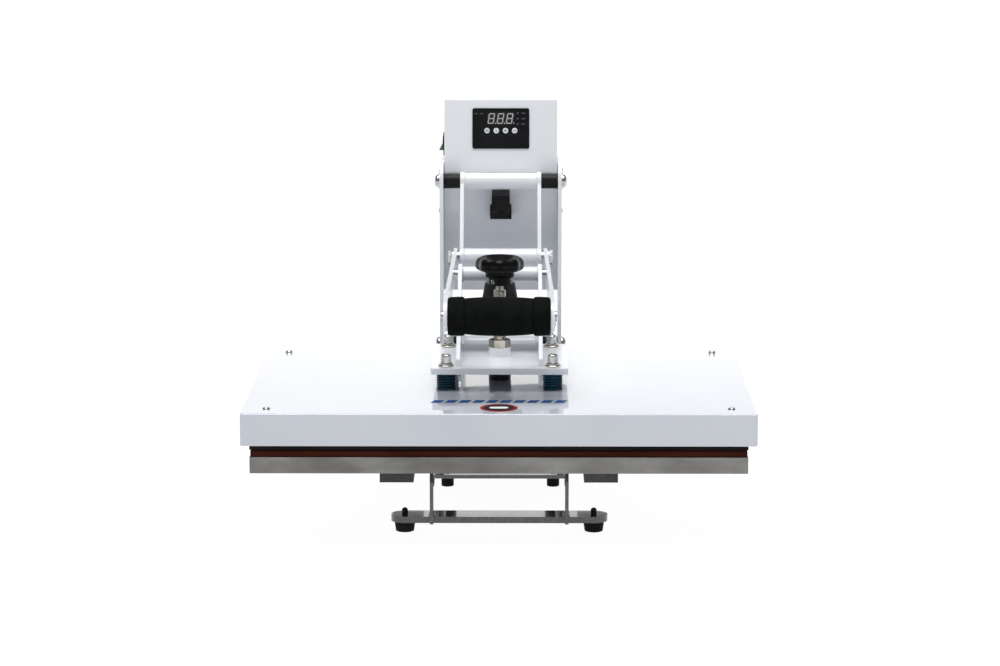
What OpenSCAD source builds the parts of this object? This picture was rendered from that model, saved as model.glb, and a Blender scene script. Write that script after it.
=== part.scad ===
// Clamshell heat press, 60 x 40 cm class: a grey base, a white column with the controller,
// and a lever linkage that swings the heated platen up off the silicone pad.
// X is the width, -Y is the operator's side, +Z is up, and z = 0 is the table.
// Distances named *_back run from the cover's front edge towards the rear of the machine,
// and distances named *_up run from the table.

/* [Platens] */
// Width of both platens
platen_w = 600; // [560:5:604]
// Depth of both platens
platen_d = 400; // [380:5:404]
// Thickness of the lower platen
lower_platen_t = 20; // [15:0.5:20]
// Height of the lower platen's underside
lower_platen_up = 100; // [100:0.5:102]
// Thickness of the silicone pad
pad_t = 8.5; // [4:0.5:8.5]
// Thickness of the heated platen
hot_platen_t = 18; // [18:0.5:22]

/* [Cover] */
// Width of the heated platen's cover
cover_w = 622; // [618:1:640]
// Depth of the cover
cover_d = 430; // [418:1:434]
// Height of the cover's sides
cover_h = 39.5; // [30:0.5:40]
// Height of the cover's top
cover_up = 174; // [173:0.5:174]
// Sheet thickness of the cover and of the column's panels
sheet_t = 1.5; // [1:0.1:1.6]

/* [Base] */
// Length of the front foot bar
crossbar_w = 270; // [240:5:300]
// Depth of the front foot bar
crossbar_d = 34; // [30:1:36]
// Thickness of the front foot bar
crossbar_t = 8; // [6:0.5:9]
// Half the distance between the front feet
front_foot_x = 117.7; // [100:0.1:118]
// Half the distance between the rear feet
rear_foot_x = 70; // [60:1:70]
// Thickness of the grey side plates
base_plate_t = 4.5; // [4:0.5:5]

/* [Column] */
// Half the clear width between the column's plates
column_in = 76.5; // [76.5:0.5:78]
// Thickness of the column's plates
column_plate_t = 5; // [4:0.5:5]
// Front edge of the column's plates
column_back = 445; // [445:1:448]
// Top of the column's plates
column_up = 416; // [412:1:418]
// Height of the control box's top
box_up = 499; // [495:1:505]
// Lean of the control face from the vertical, in degrees
face_lean = 12; // [10:1:13]

/* [Linkage] */
// Top pivot, where the fork hangs from the column: distance back
top_pivot_back = 468; // [466:1:468]
// Top pivot: height
top_pivot_up = 394; // [392:1:395]
// Middle pivot, fork to handle: distance back
mid_pivot_back = 410; // [406:1:414]
// Middle pivot: height
mid_pivot_up = 299; // [297:1:301]
// Link pivot, handle to platen arm: distance back
link_pivot_back = 310; // [306:1:312]
// Link pivot: height
link_pivot_up = 293.6; // [290:0.1:295]
// Main hinge of the platen arm: distance back
main_pivot_back = 500; // [498:1:502]
// Main hinge: height
main_pivot_up = 167; // [165:1:168]
// Thickness of the arm, fork and handle plates
link_t = 5; // [4:0.5:5]
// Radial running clearance of a tube or plate on its shaft
run_gap = 0.05; // [0.02:0.01:0.1]

/* [Pressure unit] */
// Width of the mounting plate
mount_w = 171; // [165:1:175]
// Depth of the mounting plate
mount_d = 168; // [160:1:172]
// Half the distance between the suspension bolts
bolt_pitch = 66.5; // [64:0.5:67]
// Outer diameter of the die springs
spring_d = 24; // [20:1:25]
// Height of the die springs
spring_h = 21.5; // [20:0.5:22]
// Diameter of the threaded spindle
spindle_d = 16; // [14:1:16]
// Diameter of the hand knob
knob_d = 62; // [56:1:64]

/* [Handle] */
// Centre of the grip: distance back
grip_back = 90; // [80:1:95]
// Centre of the grip: height
grip_up = 277; // [272:1:280]
// Diameter of the foam grip
grip_d = 48; // [40:1:50]
// How far each handle plate is bent outward at the grip
handle_flare = 6; // [5:0.5:6.5]

/* [Controls] */
// Width of the controller's bezel
bezel_w = 76.5; // [70:0.5:80]
// Height of the controller's bezel
bezel_h = 54.5; // [52:0.5:60]
// Diameter of the push buttons
button_d = 7.5; // [7:0.5:9]
// Spacing of the push buttons
button_pitch = 12.4; // [11.5:0.1:13]
// Height of the power switch's frame
rocker_h = 30; // [26:1:32]

/* [Hidden] */
$fn = 64;
depth = 568;                                // whole machine, front of cover to back of inlet
rear_back = 565;                            // rear edge of the column
cover_top = cover_up;
cover_bottom = cover_up - cover_h;
lower_platen_top = lower_platen_up + lower_platen_t;
pad_top = lower_platen_top + pad_t;
nip_gap = 0.5;                              // closed gap between pad and heated platen
hot_bottom = pad_top + nip_gap;
hot_top = hot_bottom + hot_platen_t;
insulation_t = 14;
platen_front = 4;                           // front edge of both platens
cover_centre = cover_d / 2;
cover_screw_backs = [30, 398];

crossbar_up = 13.5;
crossbar_front = 105;
crossbar_top = crossbar_up + crossbar_t;
foot_hole_d = 8;
rear_plate_up = 14;
rear_plate_t = 5;
rear_plate_top = rear_plate_up + rear_plate_t;
rear_plate_front = 345;
rear_plate_back = 560;
rear_feet_back = [365, 540];
base_in = column_in + column_plate_t;
base_out = base_in + base_plate_t;
strap_t = 5;
strap_d = 30;
bar_h = 14;
bar_w = 41;
bar_x = 123.5;
bar_front = 17;
strap_up = lower_platen_up - bar_h - strap_t;
strap_backs = [140, 290];
lap_bolts = [[462, 118], [545, 118], [545, 45]];

box_out = column_in - 0.5;
face_top_back = 505;
box_fall = 7;                               // how far the box's top drops towards the rear
face_bottom_up = 403;
face_bottom_back = face_top_back - (box_up - face_bottom_up) * tan(face_lean);
panel_bottom_back = 520;
panel_bottom_up = 237.5;
panel_lean = atan((panel_bottom_back - face_bottom_back) / (face_bottom_up - panel_bottom_up));
inlet_up = 300;
bezel_down = 38.5;                          // centre of the bezel below the face's top edge
bezel_t = 1.2;
window_w = 37;
window_h = 17;
window_rise = 13.4;
button_drop = 3.1;
tray_wall = 1.5;
rocker_back = 530;
rocker_up = 437;
rocker_w = 22;
rocker_tilt = 15;
rocker_pin_d = 3.4;
sensor_up = 361;

shaft_d = 12;
link_in = 49;                               // inner faces of the fork and arm plates
link_out = link_in + link_t;
handle_in = 57;
handle_out = handle_in + link_t;
side_gap = 0.3;
bend_rear = 395;                            // the handle plates splay outward between these
bend_front = 130;
mount_plate_t = 7.5;
mount_up = cover_top + spring_h;
mount_top = mount_up + mount_plate_t;
mount_front = 135;
mount_centre = mount_front + mount_d / 2;
boss_h = 12;
boss_d = 28;
nut_h = 10;
nut_af = 24;
pad_d = 28;
collar_up = 295;
collar_h = 10;
hub_h = 7;
knob_h = 18;
grip_half = handle_in + handle_flare - 0.2;
grip_core_d = 28;

gas_x = 68;
gas_low_back = 470;
gas_low_up = 60;
gas_high_back = 440;
gas_high_up = 205;
gas_d = 15;
gas_rod_d = 6;
gas_wall = 1.1;
gas_tilt = atan((gas_low_back - gas_high_back) / (gas_high_up - gas_low_up));
gas_len = norm([gas_low_back - gas_high_back, gas_high_up - gas_low_up]);
gas_body_end = 100;                         // end of the cylinder, from its lower eye
gas_rod_start = 64;                         // underside of the piston, from the lower eye
gas_eye_d = 14;
gas_eye_w = 10;
gas_pin_d = 8;
gas_play = 2;                               // radial play at the eye where the loop is opened

// ---- helpers --------------------------------------------------------------------------

// Row-frame Y of a distance behind the cover's front edge
function fy(back) = back - depth / 2;

// How far the handle plates are splayed outward at a distance behind the cover's front edge
function splay_at(back) = handle_flare * (bend_rear - back) / (bend_rear - bend_front);

// A child drawn in the side view (x = distance back, y = height), extruded from x0 to x1
module side_slab(x0, x1)
    translate([x0, -depth / 2, 0]) rotate([90, 0, 90]) linear_extrude(x1 - x0) children();

// A cylinder along X between two widths, at a point of the side view
module cross_rod(back, up, d, x0, x1)
    translate([x0, fy(back), up]) rotate([0, 90, 0]) cylinder(d = d, h = x1 - x0);

// A hexagon along X between two widths, at a point of the side view
module cross_hex(back, up, af, x0, x1)
    translate([x0, fy(back), up]) rotate([0, 90, 0]) cylinder(d = af / cos(30), h = x1 - x0, $fn = 6);

// A block centred on x = 0, given by its width, its front and back, and its bottom and top
module block(w, front, back, bottom, top)
    translate([-w / 2, fy(front), bottom]) cube([w, back - front, top - bottom]);

// Points of an arc in the side view, from angle a0 to a1
function arc(cx, cy, r, a0, a1, steps = 12) =
    [for (i = [0:steps]) let(a = a0 + (a1 - a0) * i / steps) [cx + r * cos(a), cy + r * sin(a)]];

// A rectangle with round corners, centred on the origin
module round_rect(w, d, r) {
    square([w - 2 * r, d], center = true);
    square([w, d - 2 * r], center = true);
    for (x = [-1, 1], y = [-1, 1]) translate([x * (w / 2 - r), y * (d / 2 - r)]) circle(r);
}

// The left piece is the mirror image of the right one
module mirrored() mirror([1, 0, 0]) children();
module both_sides() for (side = [0, 1]) mirror([side, 0, 0]) children();

// Frame of the control face: origin at its top edge, y up the face, z out of it
module on_face() translate([0, fy(face_top_back), box_up]) rotate([90 - face_lean, 0, 0]) children();

// Frame of the lower panel: origin at its top edge, y up the panel, z out of it
module on_panel()
    translate([0, fy(face_bottom_back), face_bottom_up]) rotate([90 + panel_lean, 0, 0]) children();

// Frame of a gas spring: origin at its lower eye, z towards its upper eye
module on_gas() translate([gas_x, fy(gas_low_back), gas_low_up]) rotate([gas_tilt, 0, 0]) children();

// ---- base -----------------------------------------------------------------------------

arch_front = 124;
arch_top = 55;
arch_r = 30;
leg_front = 98;
leg_r = 16;
lap_top = 135;

// One closed outline: over the leg and beam to the lap, then back under the arch
module base_outline()
    polygon(concat(
        [[leg_front, crossbar_up]],
        arc(leg_front + leg_r, strap_up - leg_r, leg_r, 180, 90),
        [[430, strap_up], [452, lap_top], [rear_plate_back, lap_top],
            [rear_plate_back, rear_plate_top], [rear_plate_front, rear_plate_top]],
        arc(rear_plate_front - arch_r, arch_top - arch_r, arch_r, 0, 90),
        arc(arch_front + arch_r, arch_top - arch_r, arch_r, 90, 180),
        [[arch_front, crossbar_top], [crossbar_front, crossbar_top], [crossbar_front, crossbar_up]]));

module base_side() {
    difference() {
        side_slab(base_in, base_out) base_outline();
        for (p = lap_bolts) cross_rod(p[0], p[1], 8, base_in - 1, base_out + 1);
        cross_rod(gas_low_back, gas_low_up, gas_pin_d, base_in - 1, base_out + 1);
    }
}

module base_side_left() color([0.38, 0.39, 0.40]) mirrored() base_side();
module base_side_right() color([0.38, 0.39, 0.40]) base_side();

module front_crossbar() color([0.38, 0.39, 0.40])
    translate([0, fy(crossbar_front + crossbar_d / 2), crossbar_up]) difference() {
        linear_extrude(crossbar_t) {
            square([crossbar_w - crossbar_d, crossbar_d], center = true);
            for (x = [-1, 1]) translate([x * (crossbar_w - crossbar_d) / 2, 0]) circle(d = crossbar_d);
        }
        for (x = [-1, 1]) translate([x * front_foot_x, 0, -1])
            cylinder(d = foot_hole_d, h = crossbar_t + 2);
    }

module rubber_feet() color([0.07, 0.07, 0.07]) {
    for (x = [-1, 1]) translate([x * front_foot_x, fy(crossbar_front + crossbar_d / 2), 0])
        difference() {
            cylinder(d1 = 22.7, d2 = 26.4, h = crossbar_up);
            translate([0, 0, 4]) cylinder(d = foot_hole_d, h = crossbar_up);
        }
    for (x = [-1, 1], back = rear_feet_back) translate([x * rear_foot_x, fy(back), 0])
        difference() {
            cylinder(d = 16.5, h = rear_plate_up);
            translate([0, 0, 6]) cylinder(d = 5, h = rear_plate_up);
        }
}

module foot_studs() color([0.15, 0.15, 0.16]) {
    for (x = [-1, 1]) translate([x * front_foot_x, fy(crossbar_front + crossbar_d / 2), 0]) {
        translate([0, 0, 4]) cylinder(d = foot_hole_d, h = crossbar_top - 4);
        translate([0, 0, crossbar_top]) cylinder(d = 14, h = 4);
        translate([0, 0, crossbar_top + 4]) intersection() {
            cylinder(d = 12, h = 4);
            translate([0, 0, -4]) sphere(r = 8);
        }
    }
    for (x = [-1, 1], back = rear_feet_back) translate([x * rear_foot_x, fy(back), 0]) {
        translate([0, 0, 6]) cylinder(d = 5, h = rear_plate_top - 6);
        translate([0, 0, rear_plate_top]) cylinder(d = 10, h = 3);
    }
}

module rear_plate() color([0.38, 0.39, 0.40]) difference() {
    block(2 * base_out, rear_plate_front, rear_plate_back, rear_plate_up, rear_plate_top);
    for (x = [-1, 1], back = rear_feet_back)
        translate([x * rear_foot_x, fy(back), rear_plate_up - 1]) cylinder(d = 5, h = rear_plate_t + 2);
}

module at_platen_bolts()
    for (x = [-1, 1], back = strap_backs) translate([x * bar_x, fy(back + strap_d / 2), 0]) children();

module cross_straps() color([0.30, 0.31, 0.32]) difference() {
    for (back = strap_backs)
        block(2 * bar_x + bar_w, back, back + strap_d, strap_up, strap_up + strap_t);
    at_platen_bolts() translate([0, 0, strap_up - 1]) cylinder(d = 8, h = strap_t + 2);
}

module support_bars() color([0.25, 0.25, 0.24]) difference() {
    for (x = [-1, 1]) translate([x * bar_x - bar_w / 2, fy(bar_front), strap_up + strap_t])
        cube([bar_w, platen_front + platen_d - 4 - bar_front, bar_h]);
    at_platen_bolts() translate([0, 0, strap_up]) cylinder(d = 8, h = bar_h + strap_t + 1);
}

module lower_platen() color([0.55, 0.54, 0.53]) difference() {
    block(platen_w, platen_front, platen_front + platen_d, lower_platen_up, lower_platen_top);
    at_platen_bolts() translate([0, 0, lower_platen_up - 1]) cylinder(d = 8, h = 11);
}

module silicone_pad() color([0.30, 0.12, 0.11])
    block(platen_w - 2, platen_front + 1, platen_front + platen_d - 1, lower_platen_top, pad_top);

module frame_bolts() color([0.75, 0.76, 0.78]) {
    at_platen_bolts() {
        translate([0, 0, strap_up]) cylinder(d = 8, h = lower_platen_up + 10 - strap_up);
        translate([0, 0, strap_up - 5]) cylinder(d = 13 / cos(30), h = 5, $fn = 6);
    }
    both_sides() {
        for (p = lap_bolts) {
            cross_rod(p[0], p[1], 8, column_in, base_out);
            cross_hex(p[0], p[1], 13, base_out, base_out + 5);
        }
        cross_rod(gas_low_back, gas_low_up, gas_pin_d, gas_x - 8, base_out);
        cross_hex(gas_low_back, gas_low_up, 13, base_out, base_out + 5);
    }
}

// ---- column ---------------------------------------------------------------------------

column_r = 18;

module column_side() difference() {
    side_slab(column_in, base_in) polygon(concat(
        [[column_back, rear_plate_top]],
        arc(column_back + column_r, column_up - column_r, column_r, 180, 90),
        [[rear_back, column_up], [rear_back, rear_plate_top]]));
    for (p = lap_bolts) cross_rod(p[0], p[1], 8, column_in - 1, base_in + 1);
    cross_rod(gas_low_back, gas_low_up, gas_pin_d, column_in - 1, base_in + 1);
    cross_rod(top_pivot_back, top_pivot_up, shaft_d, column_in - 1, base_in + 1);
    cross_rod(main_pivot_back, main_pivot_up, shaft_d, column_in - 1, base_in + 1);
}

module column_side_left() color([0.93, 0.94, 0.96]) mirrored() column_side();
module column_side_right() color([0.93, 0.94, 0.96]) column_side();

shell_bottom = 380;
shell_rear = rear_back - sheet_t;

module shell_outline(inset) {
    t = inset * sheet_t;
    step = (face_bottom_up - shell_bottom) * tan(panel_lean);
    polygon([[face_bottom_back + step + t, shell_bottom], [face_bottom_back + t, face_bottom_up],
        [face_top_back + t, box_up - t], [shell_rear, box_up - box_fall - t],
        [shell_rear, shell_bottom]]);
}

module control_shell() color([0.88, 0.89, 0.91]) difference() {
    side_slab(-box_out, box_out) shell_outline(0);
    side_slab(sheet_t - box_out, box_out - sheet_t) shell_outline(1);
    block(2 * box_out - 2 * sheet_t, 400, 600, shell_bottom - 1, face_bottom_up);
    block(2 * box_out - 2 * sheet_t, shell_rear - 5, 600, shell_bottom - 1,
        box_up - box_fall - sheet_t);
    on_face() translate([0, -bezel_down, 0])
        cube([bezel_w - 8, bezel_h - 8, 10], center = true);
    translate([-box_out, fy(rocker_back), rocker_up]) cube([10, rocker_w - 4, rocker_h - 4], center = true);
}

// Narrow where it slips up between the box's side walls, and full width below them
module column_panel() color([0.80, 0.82, 0.86]) {
    panel_len = (face_bottom_up - panel_bottom_up) / cos(panel_lean);
    wide_len = (shell_bottom - 1 - panel_bottom_up) / cos(panel_lean);
    inner = 2 * (box_out - sheet_t) - 0.2;
    wide = 2 * column_in - 0.4;
    on_panel() difference() {
        union() {
            translate([-inner / 2, -panel_len, -sheet_t]) cube([inner, panel_len - 0.5, sheet_t]);
            translate([-wide / 2, -panel_len, -sheet_t]) cube([wide, wide_len, sheet_t]);
        }
        for (x = [-1, 1]) translate([x * 7.9, sensor_drop - 8, -5]) cylinder(d = 4, h = 10);
    }
    block(wide, panel_bottom_back + sheet_t, panel_bottom_back + 18,
        panel_bottom_up, panel_bottom_up + sheet_t);
}

vent_w = 46;
vent_h = 3;
vent_pitch = 9;

module rear_cover() color([0.93, 0.94, 0.96]) difference() {
    block(2 * box_out, shell_rear, rear_back, panel_bottom_up, box_up - box_fall);
    translate([0, fy(rear_back), inlet_up]) cube([27.4, 10, 19.8], center = true);
    for (i = [0:4]) translate([0, fy(rear_back), 410 + i * vent_pitch])
        cube([vent_w, 10, vent_h], center = true);
}

inlet_cavity = [24, 18, 16.4];

module mains_inlet() color([0.08, 0.08, 0.08]) translate([0, 0, inlet_up]) difference() {
    union() {
        block(50, rear_back, depth, -12, 12);
        block(27.4, rear_back - 22, rear_back, -9.9, 9.9);
    }
    translate([-inlet_cavity[0] / 2, fy(depth) - inlet_cavity[1], -inlet_cavity[2] / 2])
        cube([inlet_cavity[0], inlet_cavity[1] + 1, inlet_cavity[2]]);
}

// ---- controls -------------------------------------------------------------------------

button_xs = [for (i = [0:3]) (i - 1.5) * button_pitch];

module controller_bezel() color([0.06, 0.06, 0.07]) on_face() translate([0, -bezel_down, 0])
    difference() {
        union() {
            linear_extrude(bezel_t) round_rect(bezel_w, bezel_h, 2.5);
            translate([0, 0, -11]) cube([bezel_w - 8, bezel_h - 8, 22], center = true);
        }
        translate([0, 0, -12 - tray_wall])
            cube([bezel_w - 8 - 2 * tray_wall, bezel_h - 8 - 2 * tray_wall, 24], center = true);
        translate([0, window_rise, 0]) cube([window_w, window_h, 10], center = true);
        for (x = button_xs) translate([x, -button_drop, -5]) cylinder(d = button_d + 0.6, h = 10);
    }

module display_window() color([0.14, 0.15, 0.16]) on_face()
    translate([0, window_rise - bezel_down, bezel_t / 2 - 1.1])
        cube([window_w, window_h, bezel_t + 2], center = true);

module control_electronics() color([0.10, 0.35, 0.20]) {
    on_face() translate([0, -bezel_down, -14])
        cube([bezel_w - 12, bezel_h - 12, 1.6], center = true);
    block(58, shell_rear - 30, shell_rear, 340, 385);
}

button_length = 5 + bezel_t + 1.4;

module push_button(i) color([0.92, 0.93, 0.94]) on_face()
    translate([button_xs[i - 1], -bezel_down - button_drop, -5]) cylinder(d = button_d, h = button_length);
module button_1() push_button(1);
module button_2() push_button(2);
module button_3() push_button(3);
module button_4() push_button(4);

module at_rocker() translate([-box_out, fy(rocker_back), rocker_up]) children();

module rocker_pin(gap) rotate([90, 0, 0])
    cylinder(d = rocker_pin_d + 2 * gap, h = rocker_w - 4 + 2 * gap, center = true);

module rocker_frame() color([0.06, 0.06, 0.07]) at_rocker() difference() {
    union() {
        translate([-1, 0, 0]) cube([2, rocker_w, rocker_h], center = true);
        translate([8, 0, 0]) cube([16, rocker_w - 4, rocker_h - 4], center = true);
    }
    translate([-3, 0, 0]) cube([26, rocker_w - 7, rocker_h - 7], center = true);
    rocker_pin(run_gap);
}

// The cap is a shallow V that rocks on a pin along Y, held in the frame's side walls
module power_rocker() color([0.08, 0.27, 0.22]) at_rocker() rotate([0, rocker_tilt, 0]) {
    translate([0, (rocker_w - 8) / 2, 0]) rotate([90, 0, 0]) linear_extrude(rocker_w - 8)
        polygon([[-5.5, rocker_h / 2 - 5], [-3.5, 0], [-5.5, 5 - rocker_h / 2], [2, 7 - rocker_h / 2],
            [5, 0], [2, rocker_h / 2 - 7]]);
    rocker_pin(0);
}

sensor_drop = -(face_bottom_up - sensor_up) / cos(panel_lean);

module sensor_block() color([0.07, 0.07, 0.08]) on_panel() {
    translate([-12, sensor_drop - 2, 0]) cube([24, 21, 26]);
    translate([-14.5, sensor_drop - 19, 0]) cube([29, 17, 12]);
    for (x = [-1, 1]) translate([x * 7.9, sensor_drop - 8, 0]) {
        translate([0, 0, -8]) cylinder(d = 4, h = 8);
        translate([0, 0, 12]) cylinder(d = 7, h = 3);
    }
}

// ---- shafts ---------------------------------------------------------------------------

module through_shaft(back, up, head_d) {
    cross_rod(back, up, shaft_d, -base_in, base_in);
    both_sides() {
        cross_rod(back, up, head_d + 4, base_in, base_in + 1.5);
        cross_rod(back, up, head_d, base_in + 1.5, base_in + 7);
    }
}

module top_shaft() color([0.78, 0.79, 0.81]) through_shaft(top_pivot_back, top_pivot_up, 18);
module main_shaft() color([0.78, 0.79, 0.81]) through_shaft(main_pivot_back, main_pivot_up, 18);

module shaft_spacers() color([0.06, 0.06, 0.06])
    for (p = [[top_pivot_back, top_pivot_up], [main_pivot_back, main_pivot_up]]) both_sides()
        difference() {
            cross_rod(p[0], p[1], 19.7, link_out + side_gap, column_in);
            cross_rod(p[0], p[1], shaft_d, link_out, column_in + 1);
        }

// ---- platen arm -----------------------------------------------------------------------

// One closed outline: up the front edge, round the lug, down the hollow back, round the hinge
// and forward along the lower edge to the mounting plate
module arm_outline() {
    lug_r = 13;
    hinge_r = 16;
    polygon(concat(
        [[150, mount_top], [150, mount_top + 9]],
        arc(link_pivot_back, link_pivot_up, lug_r, 117, 45),
        [[398, 224]],
        arc(main_pivot_back, main_pivot_up, hinge_r, 62, -122, 24),
        [[436, 187], [303, mount_top]]));
}

module arm_plate() difference() {
    side_slab(link_in, link_out) arm_outline();
    cross_rod(link_pivot_back, link_pivot_up, shaft_d, link_in - 1, link_out + 1);
    cross_rod(main_pivot_back, main_pivot_up, shaft_d + 2 * run_gap, link_in - 1, link_out + 1);
    cross_rod(gas_high_back, gas_high_up, gas_pin_d, link_in - 1, link_out + 1);
}

module arm_plate_left() color([0.90, 0.91, 0.93]) mirrored() arm_plate();
module arm_plate_right() color([0.90, 0.91, 0.93]) arm_plate();

module arm_tubes() color([0.84, 0.86, 0.89]) {
    difference() {
        cross_rod(main_pivot_back, main_pivot_up, 22, -link_in, link_in);
        cross_rod(main_pivot_back, main_pivot_up, shaft_d + 2 * run_gap, -link_in - 1, link_in + 1);
    }
    difference() {
        cross_rod(link_pivot_back, link_pivot_up, 19, -link_in, link_in);
        cross_rod(link_pivot_back, link_pivot_up, shaft_d, -link_in - 1, link_in + 1);
    }
}

ring_d = 16;
ring_in = handle_out + splay_at(link_pivot_back - ring_d / 2) + side_gap;

// A plain shaft with a retaining ring outside each handle plate
module link_shaft() color([0.78, 0.79, 0.81]) {
    cross_rod(link_pivot_back, link_pivot_up, shaft_d, -ring_in - 1.4, ring_in + 1.4);
    both_sides() cross_rod(link_pivot_back, link_pivot_up, ring_d, ring_in, ring_in + 1);
}

module at_suspension()
    for (x = [-1, 1], y = [-1, 1])
        translate([x * bolt_pitch, fy(mount_centre) + y * bolt_pitch, 0]) children();

module mounting_plate() color([0.84, 0.85, 0.87]) difference() {
    translate([0, fy(mount_centre), mount_up]) linear_extrude(mount_plate_t)
        round_rect(mount_w, mount_d, 5);
    at_suspension() translate([0, 0, mount_up - 1]) cylinder(d = 8.8, h = mount_plate_t + 2);
    translate([0, fy(mount_centre), mount_up - 1])
        cylinder(d = spindle_d + 2 * run_gap, h = mount_plate_t + 2);
}

module screw_boss() color([0.88, 0.89, 0.91]) translate([0, fy(mount_centre), mount_top])
    difference() {
        cylinder(d = boss_d, h = boss_h);
        translate([0, 0, -1]) cylinder(d = spindle_d + 2 * run_gap, h = boss_h + 2);
    }

module feed_nut() color([0.75, 0.76, 0.78]) translate([0, fy(mount_centre), mount_top + boss_h])
    difference() {
        cylinder(d = nut_af / cos(30), h = nut_h, $fn = 6);
        translate([0, 0, -1]) cylinder(d = spindle_d + 2 * run_gap, h = nut_h + 2);
    }

magnet_back = 268;
magnet_bracket_up = 228;
magnet_bracket_t = 6;
magnet_d = 52;
magnet_top = 290;

module electromagnet() color([0.05, 0.05, 0.06]) {
    block(2 * link_in, magnet_back - 22, magnet_back + 30, magnet_bracket_up,
        magnet_bracket_up + magnet_bracket_t);
    translate([0, fy(magnet_back), magnet_bracket_up + magnet_bracket_t])
        cylinder(d = magnet_d, h = 18);
    translate([0, fy(magnet_back), magnet_bracket_up + magnet_bracket_t + 18])
        cylinder(d1 = magnet_d, d2 = 38, h = magnet_top - magnet_bracket_up - magnet_bracket_t - 18);
}

module gas_studs() color([0.70, 0.71, 0.73]) both_sides() {
    cross_rod(gas_high_back, gas_high_up, gas_pin_d, link_in, gas_x + 6);
    cross_rod(gas_high_back, gas_high_up, 13, link_out, gas_x - gas_eye_w / 2 - 0.5);
}

// ---- heated platen --------------------------------------------------------------------

module at_cover_screws() for (x = [-1, 1], back = cover_screw_backs)
    translate([x * (cover_w / 2 - 30), fy(back), 0]) children();

module suspension_holes(bottom, top, d)
    at_suspension() translate([0, 0, bottom]) cylinder(d = d, h = top - bottom);

module platen_cover() color([0.96, 0.97, 0.98]) difference() {
    translate([0, fy(cover_centre), cover_bottom]) linear_extrude(cover_h)
        round_rect(cover_w, cover_d, 3);
    block(cover_w - 2 * sheet_t, sheet_t, cover_d - sheet_t, cover_bottom - 1, cover_top - sheet_t);
    suspension_holes(cover_top - 5, cover_top + 1, 8);
    at_cover_screws() translate([0, 0, cover_top - 5]) cylinder(d = 5, h = 6);
    translate([0, fy(mount_centre), cover_top - 5]) cylinder(d = pad_d, h = 6);
}

module heated_platen() color([0.07, 0.06, 0.06]) difference() {
    block(platen_w, platen_front, platen_front + platen_d, hot_bottom, hot_top);
    suspension_holes(hot_bottom + 6, hot_top + 1, 8);
    at_cover_screws() translate([0, 0, hot_bottom + 8]) cylinder(d = 5, h = hot_platen_t);
}

module insulation() color([0.85, 0.82, 0.74]) difference() {
    block(platen_w - 6, platen_front + 3, platen_front + platen_d - 3, hot_top, hot_top + insulation_t);
    suspension_holes(hot_top - 1, hot_top + insulation_t + 1, 10);
    at_cover_screws() translate([0, 0, hot_top - 1]) cylinder(d = 8, h = insulation_t + 2);
    translate([0, fy(mount_centre), hot_top - 1]) cylinder(d = pad_d + 2, h = insulation_t + 2);
}

module cover_screws() color([0.55, 0.56, 0.58]) at_cover_screws() {
    translate([0, 0, hot_bottom + 8]) cylinder(d = 5, h = cover_top - hot_bottom - 8);
    translate([0, 0, cover_top]) cylinder(d1 = 10, d2 = 7, h = 2.2);
}

washer_t = 2;
lock_washer_t = 2.5;
bolt_head_h = 10.5;

module suspension_bolts() color([0.80, 0.81, 0.82]) at_suspension() {
    seat = mount_top + washer_t + lock_washer_t;
    translate([0, 0, hot_bottom + 6]) cylinder(d = 8, h = seat - hot_bottom - 6);
    translate([0, 0, mount_top]) cylinder(d = 19.6, h = washer_t);
    translate([0, 0, mount_top + washer_t]) cylinder(d = 16.5, h = lock_washer_t);
    translate([0, 0, seat]) difference() {
        cylinder(d = 13, h = bolt_head_h);
        translate([0, 0, bolt_head_h - 4]) cylinder(d = 7, h = 5, $fn = 6);
    }
}

module thrust_pad() color([0.05, 0.05, 0.05]) translate([0, fy(mount_centre), hot_top])
    difference() {
        cylinder(d = pad_d, h = mount_up - 3.5 - hot_top);
        translate([0, 0, mount_up - 3.5 - hot_top - 8]) cylinder(d = spindle_d + 2 * run_gap, h = 9);
    }

module die_springs() color([0.02, 0.26, 0.42]) at_suspension() translate([0, 0, cover_top])
    difference() {
        cylinder(d = spring_d, h = spring_h);
        translate([0, 0, -1]) cylinder(d = spring_d / 2, h = spring_h + 2);
    }

// ---- fork -----------------------------------------------------------------------------

fork_end_r = 12.5;
fork_span = norm([top_pivot_back - mid_pivot_back, top_pivot_up - mid_pivot_up]);
fork_angle = atan2(mid_pivot_up - top_pivot_up, mid_pivot_back - top_pivot_back);

module fork_outline() translate([top_pivot_back, top_pivot_up]) rotate(fork_angle)
    polygon(concat(
        arc(0, 0, fork_end_r, 50, 310, 32),
        arc(fork_span, 0, fork_end_r, -130, 130, 32)));

module fork_plates() color([0.90, 0.91, 0.93]) both_sides() difference() {
    side_slab(link_in, link_out) fork_outline();
    cross_rod(top_pivot_back, top_pivot_up, shaft_d + 2 * run_gap, link_in - 1, link_out + 1);
    cross_rod(mid_pivot_back, mid_pivot_up, shaft_d, link_in - 1, link_out + 1);
}

module fork_tubes() color([0.84, 0.86, 0.89]) {
    difference() {
        cross_rod(top_pivot_back, top_pivot_up, 22, -link_in, link_in);
        cross_rod(top_pivot_back, top_pivot_up, shaft_d + 2 * run_gap, -link_in - 1, link_in + 1);
    }
    difference() {
        cross_rod(mid_pivot_back, mid_pivot_up, 25, -link_in, link_in);
        cross_rod(mid_pivot_back, mid_pivot_up, shaft_d, -link_in - 1, link_in + 1);
    }
}

// ---- handle ---------------------------------------------------------------------------

handle_rear_r = 13;
lobe_r = 18;
handle_end_r = 18.5;

module handle_outline()
    polygon(concat(
        arc(mid_pivot_back, mid_pivot_up, handle_rear_r, 87, -80, 24),
        arc(link_pivot_back, link_pivot_up, lobe_r, -60, -120),
        arc(grip_back, grip_up, handle_end_r, -68, -292, 32)));

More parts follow.
